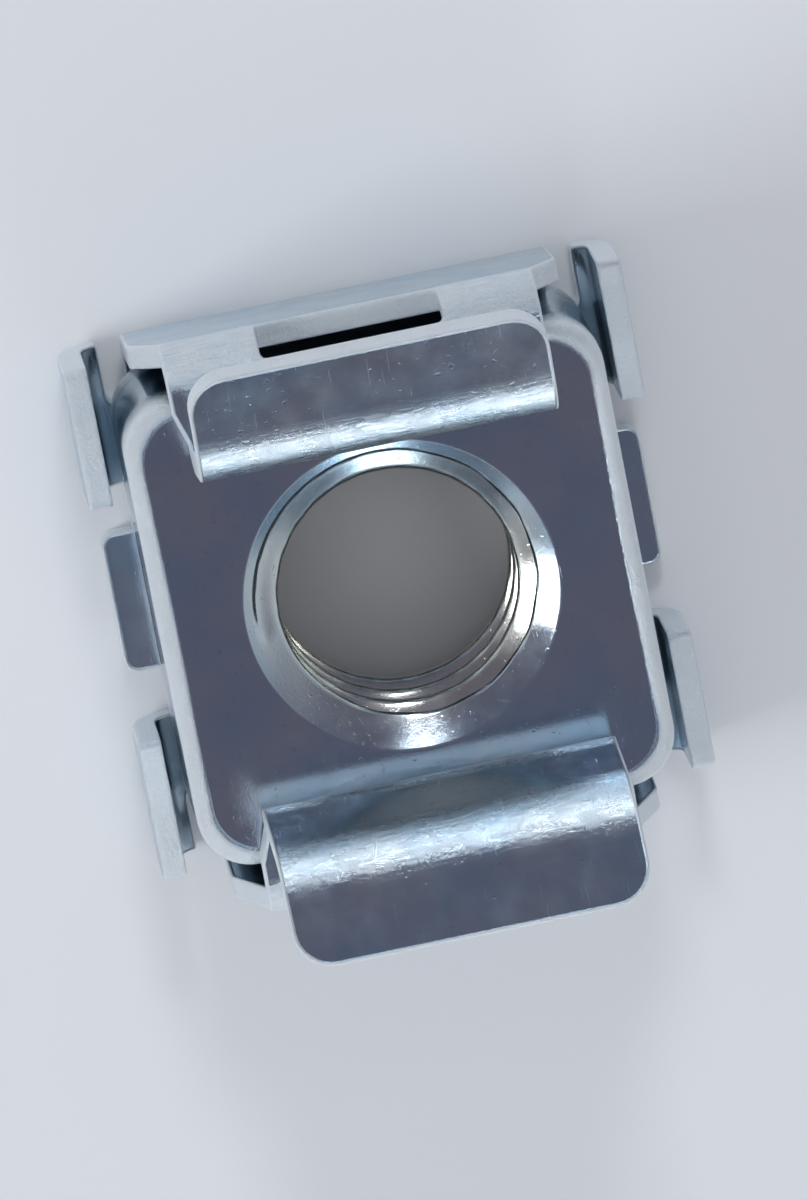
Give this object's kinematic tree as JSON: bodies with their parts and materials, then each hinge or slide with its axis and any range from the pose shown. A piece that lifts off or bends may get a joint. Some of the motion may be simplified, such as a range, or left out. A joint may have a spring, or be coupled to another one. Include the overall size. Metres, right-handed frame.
{
  "type": "rack cage nut",
  "caption": "Square nut held loose in a folded spring cage whose sprung ears clip it into a square hole of an equipment rack rail.",
  "frame": {"origin": "on the axis of the nut's hole, at the underside of the cage's base", "axes": "+Z along the nut's hole, out of its front face, and +X from one ear to the other"},
  "size_m": [0.0128, 0.0116, 0.0092],
  "materials": {
    "cage_sheet": "spring steel sheet with bright blue-white zinc plating",
    "nut_steel": "steel with bright blue-white zinc plating, duller where it was cut"
  },
  "bodies": {
    "root": {"cage": "cage_sheet", "square_nut": "nut_steel"}
  },
  "joints": []
}
